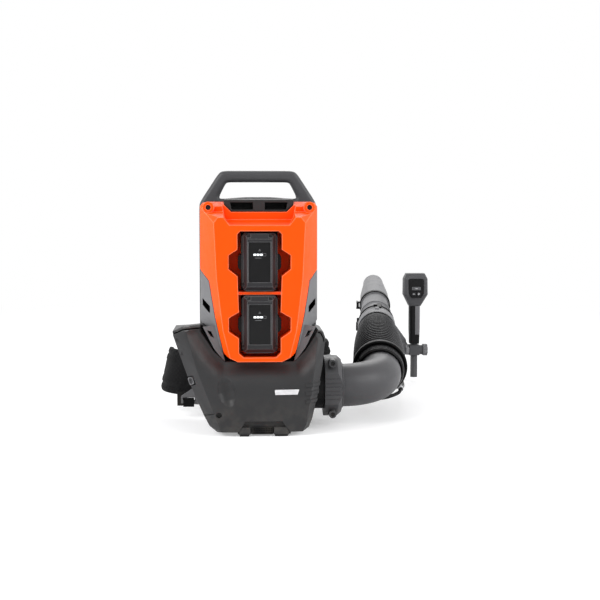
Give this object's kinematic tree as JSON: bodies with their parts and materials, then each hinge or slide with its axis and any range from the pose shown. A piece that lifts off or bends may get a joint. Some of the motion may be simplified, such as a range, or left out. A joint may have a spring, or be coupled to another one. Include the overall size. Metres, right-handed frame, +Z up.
{
  "type": "backpack leaf blower",
  "caption": "Backpack leaf blower with two slide-in batteries, a swivelling elbow, ribbed hose, blow tube, control handle and harness.",
  "frame": {"origin": "on the floor, in the middle of the base's skid", "axes": "+X to the right seen from the battery side, +Y towards the wearer and along the blow tube, +Z up"},
  "size_m": [0.6884, 1.178, 0.548],
  "materials": {
    "orange_shell": "satin",
    "dark_shell": "satin",
    "grey_frame": "satin",
    "grille_grey": "satin",
    "pipe_grey": "satin",
    "black_plastic": "matt",
    "battery_case": "satin",
    "charge_label": "satin",
    "key_grey": "satin",
    "black_rubber": "matt",
    "steel": "brushed",
    "aluminium": "cast",
    "black_fabric": "woven"
  },
  "bodies": {
    "backpack": {"handle_frame": "grey_frame", "top_vent_panel": "grey_frame", "core_housing": "dark_shell", "battery_cover": "orange_shell", "battery_bay": "black_plastic", "controller_box": "aluminium", "side_grille_left": "grille_grey", "side_grille_right": "grille_grey", "fan_housing_front": "dark_shell", "fan_housing_rear": "dark_shell", "fan_scroll": "black_plastic", "intake_grille": "black_plastic", "motor_stator": "aluminium", "bearings": "steel", "base_frame": "dark_shell", "rubber_feet": "black_rubber", "drain_grille": "black_plastic", "cover_screws": "steel", "housing_screws": "steel", "outlet_collar": "dark_shell", "back_pad": "black_fabric", "shoulder_strap_left": "black_fabric", "shoulder_strap_right": "black_fabric", "hip_pad_left": "black_fabric", "hip_pad_right": "black_fabric", "hip_brackets": "aluminium", "hip_webbing": "black_fabric", "buckle": "black_plastic"},
    "upper_battery": {"battery_upper": "battery_case", "charge_panel_upper": "charge_label"},
    "lower_battery": {"battery_lower": "battery_case", "charge_panel_lower": "charge_label"},
    "upper_left_latch": {"latch_upper_left": "battery_case"},
    "upper_right_latch": {"latch_upper_right": "battery_case"},
    "lower_left_latch": {"latch_lower_left": "battery_case"},
    "lower_right_latch": {"latch_lower_right": "battery_case"},
    "fan": {"impeller": "black_plastic", "motor_rotor": "steel"},
    "elbow_end": {"elbow": "grey_frame", "inner_hose": "black_rubber", "hose_cuff": "black_plastic", "bellows": "black_rubber", "cable_clip": "steel", "control_cable": "black_rubber"},
    "blow_tube": {"hose_clamp": "black_plastic", "pipe": "pipe_grey", "handle_bracket": "grey_frame"},
    "nozzle_end": {"nozzle": "pipe_grey", "lock_ring": "black_plastic"},
    "ring_lever": {"lock_lever": "black_plastic"},
    "handle": {"handle_tube": "grey_frame", "grip": "dark_shell", "control_head": "grey_frame", "keypad": "black_plastic"},
    "clamp_knob": {"handle_knob": "grey_frame"},
    "trigger": {"throttle_trigger": "black_plastic"},
    "cruise_control": {"cruise_lever": "black_plastic"},
    "power_key": {"power_button": "key_grey"},
    "minus_key": {"minus_button": "key_grey"},
    "plus_key": {"plus_button": "key_grey"}
  },
  "joints": [
    {"name": "battery_upper_slide", "type": "slide", "parent": "backpack", "child": "upper_battery", "axis": [0, -1, 0], "range_m": [0, 0.11]},
    {"name": "battery_lower_slide", "type": "slide", "parent": "backpack", "child": "lower_battery", "axis": [0, -1, 0], "range_m": [0, 0.11]},
    {"name": "latch_upper_left_press", "type": "slide", "parent": "upper_battery", "child": "upper_left_latch", "axis": [1, 0, 0], "range_m": [0, 0.003], "stiffness_N_per_m": 1500},
    {"name": "latch_upper_right_press", "type": "slide", "parent": "upper_battery", "child": "upper_right_latch", "axis": [-1, 0, 0], "range_m": [0, 0.003], "stiffness_N_per_m": 1500},
    {"name": "latch_lower_left_press", "type": "slide", "parent": "lower_battery", "child": "lower_left_latch", "axis": [1, 0, 0], "range_m": [0, 0.003], "stiffness_N_per_m": 1500},
    {"name": "latch_lower_right_press", "type": "slide", "parent": "lower_battery", "child": "lower_right_latch", "axis": [-1, 0, 0], "range_m": [0, 0.003], "stiffness_N_per_m": 1500},
    {"name": "fan_spin", "type": "hinge", "parent": "backpack", "child": "fan", "pos_m": [-0.015, 0, 0.104], "axis": [0, 1, 0], "continuous": true},
    {"name": "elbow_swivel", "type": "hinge", "parent": "backpack", "child": "elbow_end", "pos_m": [0.177, -0.01, 0.087], "axis": [1, 0, 0], "range_deg": [-8, 40], "deforming": ["control_cable"]},
    {"name": "hose_bend", "type": "hinge", "parent": "elbow_end", "child": "blow_tube", "pos_m": [0.29537, 0.30226, 0.13089], "axis": [0, -0.1392, 0.9903], "range_deg": [-15, 15], "deforming": ["bellows", "control_cable"]},
    {"name": "nozzle_slide", "type": "slide", "parent": "blow_tube", "child": "nozzle_end", "axis": [0.0993, 0.9854, 0.1385], "range_m": [-0.06, 0.02]},
    {"name": "ring_lever_turn", "type": "hinge", "parent": "nozzle_end", "child": "ring_lever", "pos_m": [0.2929, 0.7583, 0.19498], "axis": [0, -0.1392, 0.9903], "range_deg": [0, 85]},
    {"name": "handle_angle", "type": "hinge", "parent": "blow_tube", "child": "handle", "pos_m": [0.43145, 0.61561, 0.08492], "axis": [1, 0, 0], "range_deg": [-25, 25]},
    {"name": "knob_turn", "type": "hinge", "parent": "blow_tube", "child": "clamp_knob", "pos_m": [0.43145, 0.61561, 0.08492], "axis": [1, 0, 0], "continuous": true},
    {"name": "trigger_pull", "type": "hinge", "parent": "handle", "child": "trigger", "pos_m": [0.43145, 0.62811, 0.19092], "axis": [-1, 0, 0], "range_deg": [0, 10], "stiffness_Nm_per_rad": 0.6},
    {"name": "cruise_set", "type": "hinge", "parent": "handle", "child": "cruise_control", "pos_m": [0.41745, 0.61561, 0.24538], "axis": [0, 0, 1], "range_deg": [-20, 20]},
    {"name": "power_press", "type": "slide", "parent": "handle", "child": "power_key", "axis": [0, 1, 0], "range_m": [0, 0.001], "stiffness_N_per_m": 900},
    {"name": "minus_press", "type": "slide", "parent": "handle", "child": "minus_key", "axis": [0, 1, 0], "range_m": [0, 0.001], "stiffness_N_per_m": 900},
    {"name": "plus_press", "type": "slide", "parent": "handle", "child": "plus_key", "axis": [0, 1, 0], "range_m": [0, 0.001], "stiffness_N_per_m": 900}
  ]
}
